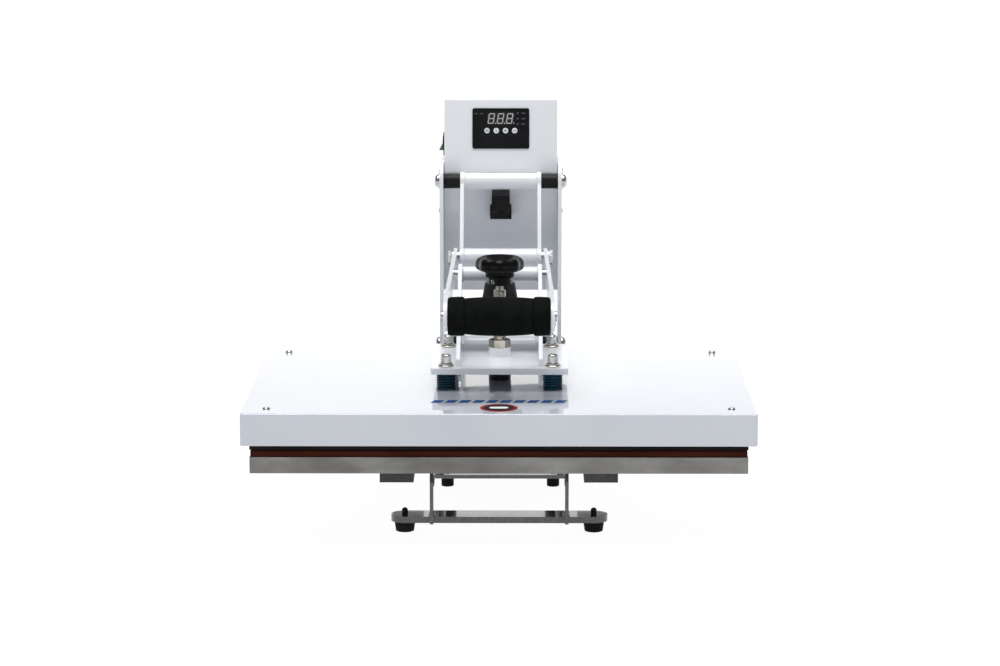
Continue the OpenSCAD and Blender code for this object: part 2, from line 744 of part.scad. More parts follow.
// The plate seen from above: straight, then splayed outward, then straight again along the grip
module handle_strip(t0, t1)
    polygon([[t0, fy(450)], [t1, fy(450)], [t1, fy(bend_rear)], [t1 + handle_flare, fy(bend_front)],
        [t1 + handle_flare, fy(40)], [t0 + handle_flare, fy(40)], [t0 + handle_flare, fy(bend_front)],
        [t0, fy(bend_rear)]]);

module handle_plate() difference() {
    intersection() {
        side_slab(handle_in - 5, handle_out + 20) handle_outline();
        linear_extrude(600) handle_strip(handle_in, handle_out);
    }
    cross_rod(link_pivot_back, link_pivot_up, shaft_d + 2 * run_gap, handle_in - 1, handle_out + 20);
    cross_rod(mid_pivot_back, mid_pivot_up, shaft_d, handle_in - 1, handle_out + 1);
    cross_rod(grip_back, grip_up, 10, handle_in, handle_out + 20);
}

module handle_plate_left() color([0.92, 0.93, 0.95]) mirrored() handle_plate();
module handle_plate_right() color([0.92, 0.93, 0.95]) handle_plate();

module grip_core() color([0.70, 0.71, 0.73]) difference() {
    cross_rod(grip_back, grip_up, grip_core_d, -handle_in - handle_flare, handle_in + handle_flare);
    for (x = [-1, 1]) cross_rod(grip_back, grip_up, 10, x * 50 - 25, x * 50 + 25);
}

module foam_grip() color([0.08, 0.09, 0.08]) difference() {
    cross_rod(grip_back, grip_up, grip_d, -grip_half, grip_half);
    cross_rod(grip_back, grip_up, grip_core_d, -grip_half - 1, grip_half + 1);
}

module handle_bolts() color([0.75, 0.76, 0.78]) both_sides() {
    grip_face = handle_out + handle_flare;
    cross_rod(grip_back, grip_up, 10, 40, grip_face);
    cross_rod(grip_back, grip_up, 13, grip_face, grip_face + 2.5);
    cross_rod(mid_pivot_back, mid_pivot_up, 20, link_out + side_gap, handle_in);
    cross_rod(mid_pivot_back, mid_pivot_up, shaft_d, handle_in, handle_out);
    cross_rod(mid_pivot_back, mid_pivot_up, 22, handle_out, handle_out + 1.5);
    cross_hex(mid_pivot_back, mid_pivot_up, 18, handle_out + 1.5, handle_out + 7.5);
}

// ---- pressure spindle -----------------------------------------------------------------

module at_spindle(up) translate([0, fy(mount_centre), up]) children();

lobes = 8;

module hand_knob() color([0.09, 0.09, 0.09]) at_spindle(collar_up + collar_h) difference() {
    union() {
        cylinder(d = 36.6, h = hub_h);
        translate([0, 0, hub_h]) rotate_extrude() polygon([[0, 0], [20, 0], [knob_d / 2, 5],
            [knob_d / 2, knob_h - 5], [knob_d / 2 - 5, knob_h], [16, knob_h - 4], [0, knob_h - 5]]);
    }
    for (i = [0:lobes - 1]) rotate((i + 0.5) * 360 / lobes) translate([knob_d / 2 + 6, 0, hub_h - 1])
        cylinder(d = 18, h = knob_h + 2);
    translate([0, 0, -1]) cylinder(d = 10, h = hub_h + 6);
}

module spindle_collar() color([0.05, 0.05, 0.05]) {
    at_spindle(collar_up) difference() {
        cylinder(d = 28, h = collar_h);
        translate([0, 0, -1]) cylinder(d = 10, h = collar_h + 2);
    }
}

module spindle_rod() color([0.80, 0.81, 0.82]) {
    neck_up = collar_up - 7;
    tip_up = mount_up - 3.5 - 8;
    at_spindle(tip_up) cylinder(d = spindle_d, h = neck_up - tip_up);
    at_spindle(neck_up) cylinder(d = 10, h = 7 + collar_h + hub_h + 5);
}

// ---- gas springs ----------------------------------------------------------------------

module gas_cylinder() on_gas() {
    difference() {
        union() {
            rotate([0, 90, 0]) cylinder(d = gas_eye_d, h = gas_eye_w, center = true);
            cylinder(d = gas_d, h = gas_body_end);
        }
        rotate([0, 90, 0]) cylinder(d = gas_pin_d + 2 * run_gap, h = gas_d + 2, center = true);
        translate([0, 0, 14]) cylinder(d = gas_d - 2 * gas_wall, h = gas_body_end - 14 - 6);
        cylinder(d = gas_rod_d + 2 * run_gap, h = gas_body_end + 1);
    }
}

module gas_rod() on_gas() difference() {
    union() {
        translate([0, 0, gas_rod_start]) cylinder(d = gas_d - 2 * gas_wall - 0.2, h = 8);
        translate([0, 0, gas_rod_start]) cylinder(d = gas_rod_d, h = gas_len - gas_rod_start);
        translate([0, 0, gas_len]) rotate([0, 90, 0])
            cylinder(d = gas_eye_d + 4, h = gas_eye_w, center = true);
    }
    translate([0, 0, gas_len]) rotate([0, 90, 0])
        cylinder(d = gas_pin_d + 2 * gas_play, h = gas_eye_w + 2, center = true);
}

module gas_cylinder_left() color([0.35, 0.36, 0.40]) mirrored() gas_cylinder();
module gas_cylinder_right() color([0.35, 0.36, 0.40]) gas_cylinder();
module gas_rod_left() color([0.72, 0.73, 0.75]) mirrored() gas_rod();
module gas_rod_right() color([0.72, 0.73, 0.75]) gas_rod();

// ---- the assembly ---------------------------------------------------------------------

base_side_left();
base_side_right();
front_crossbar();
rubber_feet();
foot_studs();
rear_plate();
cross_straps();
support_bars();
lower_platen();
silicone_pad();
frame_bolts();
column_side_left();
column_side_right();
control_shell();
column_panel();
rear_cover();
mains_inlet();
controller_bezel();
display_window();
control_electronics();
button_1();
button_2();
button_3();
button_4();
rocker_frame();
power_rocker();
sensor_block();
top_shaft();
main_shaft();
shaft_spacers();
arm_plate_left();
arm_plate_right();
arm_tubes();
link_shaft();
mounting_plate();
screw_boss();
feed_nut();
electromagnet();
gas_studs();
platen_cover();
heated_platen();
insulation();
cover_screws();
suspension_bolts();
thrust_pad();
die_springs();
fork_plates();
fork_tubes();
handle_plate_left();
handle_plate_right();
grip_core();
foam_grip();
handle_bolts();
hand_knob();
spindle_collar();
spindle_rod();
gas_cylinder_left();
gas_cylinder_right();
gas_rod_left();
gas_rod_right();
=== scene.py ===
"""Looks of a clamshell heat press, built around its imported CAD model."""

import math

import bmesh
import bpy
from mathutils import Matrix, Vector


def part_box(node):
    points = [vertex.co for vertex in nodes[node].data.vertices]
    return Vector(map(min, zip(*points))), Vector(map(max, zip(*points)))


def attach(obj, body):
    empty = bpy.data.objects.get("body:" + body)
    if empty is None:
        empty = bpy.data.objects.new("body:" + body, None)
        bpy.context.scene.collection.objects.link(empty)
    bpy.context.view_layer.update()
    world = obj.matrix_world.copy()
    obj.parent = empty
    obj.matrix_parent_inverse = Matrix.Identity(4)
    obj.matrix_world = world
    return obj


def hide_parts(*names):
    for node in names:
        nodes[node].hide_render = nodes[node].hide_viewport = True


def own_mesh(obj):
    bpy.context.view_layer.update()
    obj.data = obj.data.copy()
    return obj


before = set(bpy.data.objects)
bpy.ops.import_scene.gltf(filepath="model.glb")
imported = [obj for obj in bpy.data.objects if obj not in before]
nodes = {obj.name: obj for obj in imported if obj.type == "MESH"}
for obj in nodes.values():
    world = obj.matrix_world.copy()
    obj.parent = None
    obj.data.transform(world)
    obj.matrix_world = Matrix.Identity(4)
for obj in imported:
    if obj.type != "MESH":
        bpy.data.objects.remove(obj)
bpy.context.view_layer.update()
MM = 0.001

# ---- stage: camera, floor and light ---------------------------------------------------


def make_camera():
    """The photograph's view, fitted to the cover's corners and screws; angles in degrees."""
    place, down, yaw = (0.020, -3.757, 0.909), 10.38, 0.305
    data = bpy.data.cameras.new("camera")
    data.sensor_width = 36.0
    data.lens = 106.7
    camera = bpy.data.objects.new("camera", data)
    camera.location = place
    camera.rotation_euler = (math.radians(90 - down), 0.0, math.radians(yaw))
    bpy.context.scene.collection.objects.link(camera)
    bpy.context.scene.camera = camera


def make_light():
    """A dim pale blue studio, and one wide, soft lamp overhead that leans to the front."""
    world = bpy.data.worlds.new("studio")
    world.use_nodes = True
    background = world.node_tree.nodes["Background"]
    background.inputs["Color"].default_value = (0.90, 0.95, 1.0, 1.0)
    background.inputs["Strength"].default_value = 0.22
    bpy.context.scene.world = world
    data = bpy.data.lights.new("softbox", "SUN")
    data.energy = 2.95
    data.angle = math.radians(50)
    sun = bpy.data.objects.new("softbox", data)
    sun.rotation_euler = (math.radians(8), math.radians(-3), 0.0)
    bpy.context.scene.collection.objects.link(sun)


def stage_plane(name, corners, albedo, glow):
    """A white plane of the studio: what it reflects, and the light that it gives."""
    mesh = bpy.data.meshes.new(name)
    mesh.from_pydata(corners, [], [(0, 1, 2, 3)])
    plane = bpy.data.objects.new(name, mesh)
    bpy.context.scene.collection.objects.link(plane)
    material, _, bsdf = shader(name, (albedo, albedo, albedo), 0.9)
    bsdf.inputs["Emission Color"].default_value = (1.0, 1.0, 1.0, 1.0)
    bsdf.inputs["Emission Strength"].default_value = glow
    mesh.materials.append(material)


def make_floor():
    """A lit white floor, and a white wall far behind for the gloss to reflect."""
    half, wall_y, wall_h = 60.0, 25.0, 14.0
    floor = [(-half, -half, 0), (half, -half, 0), (half, half, 0), (-half, half, 0)]
    wall = [(-half, wall_y, 0), (half, wall_y, 0), (half, wall_y, wall_h), (-half, wall_y, wall_h)]
    stage_plane("floor", floor, albedo=0.12, glow=0.95)
    stage_plane("wall", wall, albedo=0.20, glow=0.95)


# ---- materials ------------------------------------------------------------------------


def add(tree, kind, inputs=None, **props):
    """A shader node with its properties set; an input is a value or another node's output."""
    node = tree.nodes.new("ShaderNode" + kind)
    for key, value in props.items():
        setattr(node, key, value)
    for key, value in (inputs or {}).items():
        if isinstance(value, bpy.types.NodeSocket):
            tree.links.new(value, node.inputs[key])
        else:
            node.inputs[key].default_value = value
    return node


def shader(name, colour, rough, metallic=0.0, **more):
    """A Principled material; more holds other inputs, with _ for the spaces in their names."""
    material = bpy.data.materials.new(name)
    material.use_nodes = True
    tree = material.node_tree
    bsdf = tree.nodes["Principled BSDF"]
    bsdf.inputs["Base Color"].default_value = (*colour, 1.0)
    bsdf.inputs["Roughness"].default_value = rough
    bsdf.inputs["Metallic"].default_value = metallic
    for key, value in more.items():
        bsdf.inputs[key.replace("_", " ")].default_value = value
    return material, tree, bsdf


def coordinates(tree, stretch=(1, 1, 1)):
    coord = add(tree, "TexCoord").outputs["Object"]
    return add(tree, "Mapping", {"Vector": coord, "Scale": stretch}).outputs["Vector"]


def noise(tree, scale, stretch=(1, 1, 1), detail=3.0, distortion=0.0):
    return add(tree, "TexNoise", {"Vector": coordinates(tree, stretch), "Scale": scale,
                                  "Detail": detail, "Distortion": distortion}).outputs["Fac"]


def ranged(tree, value, from_lo, from_hi, to_lo, to_hi):
    return add(tree, "MapRange", {"Value": value, "From Min": from_lo, "From Max": from_hi,
                                  "To Min": to_lo, "To Max": to_hi}).outputs["Result"]


def blended(tree, factor, a, b):
    """Colour a turning into colour b; sockets 0, 6, 7 and 2 are the colour ones of a Mix node."""
    mix = add(tree, "Mix", data_type="RGBA")
    for socket, value in ((mix.inputs[0], factor), (mix.inputs[6], a), (mix.inputs[7], b)):
        if isinstance(value, bpy.types.NodeSocket):
            tree.links.new(value, socket)
        else:
            socket.default_value = value if not isinstance(value, tuple) else (*value[:3], 1.0)
    return mix.outputs[2]


def surface(name, dark, light, rough, metallic=0.0, *, patch, grain, depth, stretch=(1, 1, 1),
            grain_stretch=(1, 1, 1), cells=False, edge=None, **more):
    """Colour drifting between two tones, roughness in a range, and a fine grain in relief.

    patch and grain are noise scales, depth the relief's height, and edge the (colour, strength)
    of the wear along convex edges."""
    material, tree, bsdf = shader(name, light, rough[0], metallic, **more)
    drift = noise(tree, patch, stretch, detail=5.0, distortion=0.4)
    colour = blended(tree, ranged(tree, drift, 0.36, 0.64, 0, 1), dark, light)
    if edge:
        ridge = add(tree, "NewGeometry").outputs["Pointiness"]
        broken = noise(tree, 260.0, detail=4.0)
        ridge = ranged(tree, ridge, 0.51, 0.56, 0, edge[1])
        amount = add(tree, "Math", {0: ridge, 1: ranged(tree, broken, 0.45, 0.6, 0, 1)},
                     operation="MULTIPLY").outputs[0]
        colour = blended(tree, amount, colour, edge[0])
    tree.links.new(colour, bsdf.inputs["Base Color"])
    smear = noise(tree, patch * 5, stretch)
    tree.links.new(ranged(tree, smear, 0.35, 0.65, rough[0], rough[1]), bsdf.inputs["Roughness"])
    if cells:
        voronoi = add(tree, "TexVoronoi", {"Vector": coordinates(tree, grain_stretch),
                                           "Scale": grain, "Smoothness": 0.6}, feature="SMOOTH_F1")
        relief = voronoi.outputs["Distance"]
    else:
        relief = noise(tree, grain, grain_stretch, detail=2.0)
    bump = add(tree, "Bump", {"Height": relief, "Distance": depth, "Strength": 1.0})
    tree.links.new(bump.outputs["Normal"], bsdf.inputs["Normal"])
    return material


WHITE = surface("white_enamel", (0.88, 0.895, 0.93), (0.92, 0.935, 0.965), (0.14, 0.22), patch=5,
                grain=420, depth=0.012 * MM, Coat_Weight=0.25, Coat_Roughness=0.08)
# The cover's white enamel, set darker than the other white paint: painted shade for its front face.
COVER_PAINTED_SHADE = surface("cover_enamel_painted_shade", (0.58, 0.605, 0.665), (0.63, 0.655, 0.71), (0.05, 0.08), patch=3,
                grain=350, depth=0.002 * MM, Coat_Weight=0.8, Coat_Roughness=0.03)
HAMMERED = surface("hammered_grey", (0.050, 0.051, 0.054), (0.062, 0.063, 0.067), (0.10, 0.15),
                   0.2, patch=12, grain=330, depth=0.006 * MM, cells=True, Coat_Weight=0.8,
                   Coat_Roughness=0.04, edge=((0.2, 0.2, 0.2), 0.25))
DARK_STEEL = surface("dark_paint", (0.022, 0.022, 0.021), (0.036, 0.035, 0.033), (0.35, 0.5), 0.2,
                     patch=8, grain=500, depth=0.02 * MM, edge=((0.08, 0.08, 0.08), 0.25))
ALUMINIUM = surface("cast_aluminium", (0.175, 0.171, 0.162), (0.285, 0.280, 0.268), (0.34, 0.50),
                    0.8, patch=9, stretch=(1, 1, 2.5), grain=30, grain_stretch=(1.5, 40, 60),
                    depth=0.04 * MM)
ZINC = surface("bright_zinc", (0.42, 0.42, 0.415), (0.64, 0.64, 0.635), (0.14, 0.28), 1.0, patch=60,
               grain=900, depth=0.012 * MM)
STAINLESS = surface("stainless", (0.46, 0.43, 0.38), (0.66, 0.63, 0.57), (0.16, 0.28), 1.0,
                    patch=50, grain=120, grain_stretch=(1, 1, 18), depth=0.02 * MM)
BLACK_OXIDE = surface("black_oxide", (0.010, 0.010, 0.011), (0.024, 0.024, 0.026), (0.28, 0.42),
                      0.5, patch=40, grain=700, depth=0.02 * MM, edge=((0.12, 0.12, 0.12), 0.5))
BLACK_PLASTIC = surface("moulded_black", (0.006, 0.006, 0.006), (0.010, 0.010, 0.010), (0.38, 0.5),
                        patch=25, grain=1400, depth=0.02 * MM, Specular_IOR_Level=0.2)
BAKELITE = surface("bakelite", (0.003, 0.0032, 0.003), (0.006, 0.0064, 0.006), (0.16, 0.26),
                   patch=30, grain=160, depth=0.01 * MM, Specular_IOR_Level=0.12, Coat_Weight=0.05,
                   Coat_Roughness=0.05)
RUBBER = surface("rubber", (0.004, 0.004, 0.004), (0.009, 0.009, 0.008), (0.6, 0.8), patch=40,
                 grain=900, depth=0.03 * MM, Specular_IOR_Level=0.1)
FOAM = surface("closed_cell_foam", (0.0030, 0.0038, 0.0030), (0.0055, 0.0070, 0.0055), (0.70, 0.85),
               patch=60, grain=1500, depth=0.03 * MM, cells=True, Specular_IOR_Level=0.06)
SILICONE = surface("silicone_sponge", (0.042, 0.009, 0.0045), (0.062, 0.014, 0.007), (0.7, 0.85),
                   patch=12, stretch=(1, 1, 3), grain=1100, depth=0.04 * MM, cells=True,
                   Specular_IOR_Level=0.06, edge=((0.03, 0.012, 0.008), 0.6))
NONSTICK = surface("nonstick_coating", (0.006, 0.005, 0.0045), (0.013, 0.010, 0.009), (0.4, 0.55),
                   0.0, patch=30, grain=800, depth=0.02 * MM, Specular_IOR_Level=0.08)
FIBRE = surface("ceramic_fibre", (0.60, 0.56, 0.47), (0.75, 0.71, 0.62), (0.85, 0.95), patch=20,
                grain=200, grain_stretch=(1, 6, 2), depth=0.5 * MM)
SPRING_BLUE = surface("spring_enamel", (0.001, 0.034, 0.056), (0.001, 0.080, 0.135), (0.30, 0.40),
                      patch=60, grain=500, depth=0.01 * MM, Specular_IOR_Level=0.2,
                      Coat_Weight=0.05, edge=((0.02, 0.04, 0.06), 0.3))
GLASS_GREY = surface("smoked_window", (0.026, 0.027, 0.029), (0.031, 0.032, 0.035), (0.08, 0.12),
                     patch=10, grain=900, depth=0.003 * MM, Specular_IOR_Level=0.3)
LABEL_BLACK = surface("label_film", (0.004, 0.004, 0.005), (0.007, 0.007, 0.008), (0.30, 0.38),
                      patch=20, grain=1800, depth=0.01 * MM, Specular_IOR_Level=0.3)
SEGMENT_GREY = surface("segment_film", (0.46, 0.46, 0.45), (0.54, 0.54, 0.53), (0.3, 0.4), patch=60,
                       grain=900, depth=0.004 * MM)
ICON_GREY = surface("icon_ink", (0.055, 0.055, 0.06), (0.085, 0.085, 0.09), (0.4, 0.5), patch=60,
                    grain=900, depth=0.004 * MM)
FRAME_GREY = surface("frame_ink", (0.012, 0.012, 0.013), (0.017, 0.017, 0.018), (0.4, 0.5),
                     patch=60, grain=900, depth=0.004 * MM)
INK_BLUE = surface("blue_print", (0.010, 0.055, 0.19), (0.014, 0.075, 0.24), (0.50, 0.60), patch=30,
                   grain=900, depth=0.004 * MM, Specular_IOR_Level=0.1)
INK_RED = surface("red_print", (0.28, 0.008, 0.012), (0.36, 0.014, 0.018), (0.50, 0.60), patch=30,
                  grain=900, depth=0.004 * MM, Specular_IOR_Level=0.1)
INK_BLACK = surface("black_print", (0.012, 0.011, 0.012), (0.020, 0.018, 0.020), (0.50, 0.60),
                    patch=30, grain=900, depth=0.004 * MM, Specular_IOR_Level=0.1)
INK_WHITE = surface("white_print", (0.78, 0.78, 0.78), (0.84, 0.84, 0.84), (0.50, 0.60), patch=30,
                    grain=900, depth=0.004 * MM, Specular_IOR_Level=0.1)
WHITE_PLASTIC = surface("white_plastic", (0.74, 0.76, 0.78), (0.82, 0.84, 0.86), (0.3, 0.4),
                        patch=60, grain=900, depth=0.02 * MM)
GREEN_PLASTIC = surface("green_plastic", (0.003, 0.105, 0.062), (0.006, 0.160, 0.098), (0.14, 0.24),
                        patch=50, grain=700, depth=0.01 * MM, Coat_Weight=0.3)
CIRCUIT = surface("circuit_board", (0.006, 0.06, 0.02), (0.012, 0.12, 0.045), (0.3, 0.45), patch=90,
                  grain=300, depth=0.05 * MM, cells=True)
CHROME = surface("chrome_rod", (0.60, 0.61, 0.63), (0.74, 0.75, 0.76), (0.07, 0.12), 1.0, patch=40,
                 grain=700, depth=0.003 * MM)

# ---- shapes ---------------------------------------------------------------------------


class Shape:
    """Points and faces gathered from simple forms, in metres in the row frame."""

    def __init__(self):
        self.points = []
        self.faces = []

    def grid(self, rows):
        """Quads between rings of points; each ring closes on itself."""
        first, n = len(self.points), len(rows[0])
        for row in rows:
            self.points.extend(row)
        for i in range(len(rows) - 1):
            for j in range(n):
                a, b = first + i * n + j, first + i * n + (j + 1) % n
                self.faces.append((a, b, b + n, a + n))
        return first

    def loft(self, rows):
        """A closed form: rings of points with a flat cap at each end."""
        first, n = self.grid(rows), len(rows[0])
        last = first + (len(rows) - 1) * n
        self.faces.append(tuple(range(first + n - 1, first - 1, -1)))
        self.faces.append(tuple(range(last, last + n)))

    def lathe(self, profile, at=Matrix(), steps=64, wave=None):
        """A profile of (radius, height) turned round Z, with flat ends unless it is a loop.

        wave(radius, height, angle) gives the radius to use at that place."""
        rows = []
        for radius, height in profile:
            row = []
            for k in range(steps):
                angle = 2 * math.pi * k / steps
                r = wave(radius, height, angle) if wave else radius
                row.append(at @ Vector((r * math.cos(angle), r * math.sin(angle), height)))
            rows.append(row)
        if profile[0][0] > 1e-7 and profile[0] == profile[-1]:
            self.grid(rows)
        else:
            self.loft(rows)

    def prism(self, outline, bottom, top, at=Matrix()):
        """A flat outline raised from one height to another."""
        self.loft([[at @ Vector((x, y, z)) for x, y in outline] for z in (bottom, top)])

    def box(self, lo, hi, at=Matrix()):
        corners = [(lo[0], lo[1]), (hi[0], lo[1]), (hi[0], hi[1]), (lo[0], hi[1])]
        self.prism(corners, lo[2], hi[2], at)

    def sweep(self, path, section, up=(0, 0, 1)):
        """A section of (side, up) points carried along a path, or a function that gives the
        section at the path's point k."""
        rows = []
        for k, point in enumerate(path):
            before, after = path[max(k - 1, 0)], path[min(k + 1, len(path) - 1)]
            along = (after - before).normalized()
            side = along.cross(Vector(up)).normalized()
            upward = side.cross(along)
            ring = section(k) if callable(section) else section
            rows.append([point + side * s + upward * u for s, u in ring])
        self.loft(rows)


def circle(radius, steps=12, x=0.0, y=0.0):
    return [(x + radius * math.cos(2 * math.pi * k / steps),
             y + radius * math.sin(2 * math.pi * k / steps)) for k in range(steps)]


def rounded_rect(half_x, half_y, r, steps=6, x=0.0, y=0.0):
    points = []
    for quarter, (sx, sy) in enumerate([(1, 1), (-1, 1), (-1, -1), (1, -1)]):
        for k in range(steps + 1):
            a = math.pi / 2 * (quarter + k / steps)
            points.append((x + sx * (half_x - r) + r * math.cos(a),
                           y + sy * (half_y - r) + r * math.sin(a)))
    return points


def piece(name, shape, material, body, replaces=(), smooth=35.0):
    """Makes a shape visible; edges sharper than smooth (in degrees) stay sharp."""
    mesh = bpy.data.meshes.new(name)
    mesh.from_pydata(shape.points, [], shape.faces)
    bm = bmesh.new()
    bm.from_mesh(mesh)
    bmesh.ops.remove_doubles(bm, verts=bm.verts, dist=1e-6)
    bmesh.ops.recalc_face_normals(bm, faces=bm.faces)
    bm.to_mesh(mesh)
    bm.free()
    obj = bpy.data.objects.new(name, mesh)
    bpy.context.scene.collection.objects.link(obj)
    mesh.materials.append(material)
    for polygon in mesh.polygons:
        polygon.use_smooth = True
    mesh.set_sharp_from_angle(angle=math.radians(smooth))
    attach(obj, body)
    if replaces:
        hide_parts(*replaces)
    return obj


def dress(node, material, bevel_mm):
    """A CAD node keeps its mesh; it gets its material, and modifiers that ease its edges."""
    obj = nodes[node]
    if "custom_normal" in obj.data.attributes:
        obj.data.attributes.remove(obj.data.attributes["custom_normal"])
    obj.data.materials.clear()
    obj.data.materials.append(material)
    for polygon in obj.data.polygons:
        polygon.use_smooth = True
    weld = obj.modifiers.new("weld", "WELD")
    weld.merge_threshold = 2e-6
    flat = obj.modifiers.new("flat", "DECIMATE")
    flat.decimate_type = "DISSOLVE"
    flat.angle_limit = math.radians(0.6)
    bevel = obj.modifiers.new("bevel", "BEVEL")
    bevel.limit_method = "ANGLE"
    bevel.angle_limit = math.radians(30)
    bevel.width = bevel_mm * MM
    bevel.segments = 2
    bevel.miter_outer = "MITER_ARC"
    bevel.use_clamp_overlap = True
    obj.modifiers.new("normals", "WEIGHTED_NORMAL")


def centre(node):
    lo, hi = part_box(node)
    return (lo + hi) / 2


make_camera()
make_light()
make_floor()
bpy.context.scene.view_settings.view_transform = "Standard"

# Material, width of the eased edges in mm, and the CAD nodes that have them
DRESSING = [
    (HAMMERED, 0.7, "base_side_left base_side_right front_crossbar rear_plate"),
    (DARK_STEEL, 0.5, "cross_straps support_bars gas_cylinder_left gas_cylinder_right"),
    (ALUMINIUM, 0.5, "lower_platen"),
    (NONSTICK, 0.6, "heated_platen"),
    (WHITE, 0.5, "column_side_left column_side_right control_shell column_panel rear_cover"),
    (WHITE, 0.6, "arm_plate_left arm_plate_right fork_plates handle_plate_left handle_plate_right"),
    (WHITE, 0.3, "arm_tubes fork_tubes"),
    (WHITE, 0.8, "mounting_plate screw_boss"),
    (ZINC, 0.4, "frame_bolts link_shaft gas_studs grip_core handle_bolts cover_screws"),
    (STAINLESS, 0.6, "feed_nut"),
    (CHROME, 0.3, "gas_rod_left gas_rod_right"),
    (BLACK_OXIDE, 0.8, "electromagnet thrust_pad"),
    (BLACK_PLASTIC, 0.4, "rocker_frame mains_inlet sensor_block spindle_collar"),
    (BLACK_PLASTIC, 0.3, "shaft_spacers"),
    (LABEL_BLACK, 0.4, "controller_bezel"),
    (GLASS_GREY, 0.15, "display_window"),
    (CIRCUIT, 0.1, "control_electronics"),
    (WHITE_PLASTIC, 0.6, "button_1 button_2 button_3 button_4"),
    (GREEN_PLASTIC, 0.5, "power_rocker"),
    (RUBBER, 0.9, "rubber_feet"),
]
for material, bevel_mm, names in DRESSING:
    for name in names.split():
        dress(name, material, bevel_mm)

ALONG_X = Matrix.Rotation(math.radians(90), 4, "Y")


def at(x, y, z):
    return Matrix.Translation((x, y, z))


def hexed(hex_radius, across):
    """A wave for lathe() that turns every point at hex_radius into a hexagon of that size."""
    def wave(radius, height, angle):
        if abs(radius - hex_radius) > 1e-9:
            return radius
        off = (angle + math.pi / 6) % (math.pi / 3) - math.pi / 6
        return across / 2 / math.cos(off)
    return wave


# ---- heated platen: cover, prints, insulation -----------------------------------------


def platen_cover():
    """A folded steel tray with a rounded top edge, open underneath."""
    lo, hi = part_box("platen_cover")
    mid = (lo + hi) / 2
    half_x, half_y = (hi.x - lo.x) / 2, (hi.y - lo.y) / 2
    sheet, corner, bend, lip, steps = 1.5 * MM, 4 * MM, 2.2 * MM, 0.3 * MM, 6

    def ring(inset, z):
        radius = max(corner - inset, 0.6 * MM)
        return [Vector((x, y, z)) for x, y in
                rounded_rect(half_x - inset, half_y - inset, radius, steps, mid.x, mid.y)]

    rows = []
    for k in range(steps + 1):
        a = math.pi / 2 * k / steps
        rows.append(ring(bend * (1 - math.sin(a)), hi.z - bend * (1 - math.cos(a))))
    for inset, z in ((0, lo.z + lip), (lip, lo.z), (sheet - lip, lo.z), (sheet, lo.z + lip),
                     (sheet, hi.z - sheet)):
        rows.append(ring(inset, z))
    shape = Shape()
    shape.loft(rows)
    piece("platen_cover_shell", shape, COVER_PAINTED_SHADE, "upper_platen", ["platen_cover"])


def cover_prints():
    """A plain round sign and a row of slanted bars, without any lettering."""
    lo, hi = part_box("platen_cover")
    film = 0.12 * MM
    sign_y, stripe_y = lo.y + 36.8 * MM, lo.y + 74.5 * MM
    for layer, (name, ink, radius) in enumerate([("sign_ring", INK_RED, 22.8 * MM),
                                                 ("sign_field", INK_BLACK, 18.4 * MM)]):
        disc = Shape()
        disc.lathe([(radius, 0), (radius, film)], at(0, sign_y, hi.z + layer * film))
        piece(name, disc, ink, "upper_platen")
    bar = Shape()
    bar.prism(rounded_rect(11.5 * MM, 5.5 * MM, 5 * MM), 0, film, at(0, sign_y, hi.z + 2 * film))
    piece("sign_bar", bar, INK_WHITE, "upper_platen")
    stripe = Shape()
    count, pitch, width, half_d, slant = 10, 16.7 * MM, 12.2 * MM, 8 * MM, 5 * MM
    for k in range(count):
        x = (k - (count - 1) / 2) * pitch
        outline = [(x + i * width / 2 + j * slant / 2, j * half_d)
                   for i, j in ((-1, -1), (1, -1), (1, 1), (-1, 1))]
        stripe.prism(outline, 0, film, at(0, stripe_y, hi.z))
    piece("cover_stripe", stripe, INK_BLUE, "upper_platen")


def soft_slab(name, node, material, body, swell, corner, waves):
    """A soft sheet with rounded edges and a slightly uneven top, inside its CAD block."""
    lo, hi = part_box(node)
    mid, half = (lo + hi) / 2, (hi - lo) / 2
    columns, rows = 120, 40
    top, bottom = [], []
    for j in range(rows + 1):
        v = -1 + 2 * j / rows
        for i in range(columns + 1):
            u = -1 + 2 * i / columns
            ripple = 0.5 + 0.25 * math.sin(waves * u + 1.3 * v) + 0.25 * math.sin(5 * v - 2.1 * u)
            x, y = mid.x + u * half.x, mid.y + v * half.y
            top.append(Vector((x, y, hi.z - swell * ripple)))
            bottom.append(Vector((x, y, lo.z)))
    shape = Shape()
    n = columns + 1
    shape.points = top + bottom
    offset = len(top)
    for j in range(rows):
        for i in range(columns):
            a = j * n + i
            shape.faces.append((a, a + 1, a + n + 1, a + n))
            shape.faces.append((a + offset + n, a + offset + n + 1, a + offset + 1, a + offset))
    rim = list(range(n)) + [j * n + columns for j in range(1, rows + 1)]
    rim += [rows * n + i for i in range(columns - 1, -1, -1)]
    rim += [j * n for j in range(rows - 1, 0, -1)]
    for a, b in zip(rim, rim[1:] + rim[:1]):
        shape.faces.append((b, a, a + offset, b + offset))
    obj = piece(name, shape, material, body, [node])
    bevel = obj.modifiers.new("rounding", "BEVEL")
    bevel.width = corner
    bevel.segments = 3
    bevel.limit_method = "ANGLE"
    bevel.angle_limit = math.radians(50)


# ---- pressure unit --------------------------------------------------------------------


SPRING_RADIUS = 12 * MM


def bolt_places():
    """Centres of the four springs, and of the screws inside them."""
    lo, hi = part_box("die_springs")
    return [(x, y) for x in (lo.x + SPRING_RADIUS, hi.x - SPRING_RADIUS)
            for y in (lo.y + SPRING_RADIUS, hi.y - SPRING_RADIUS)]


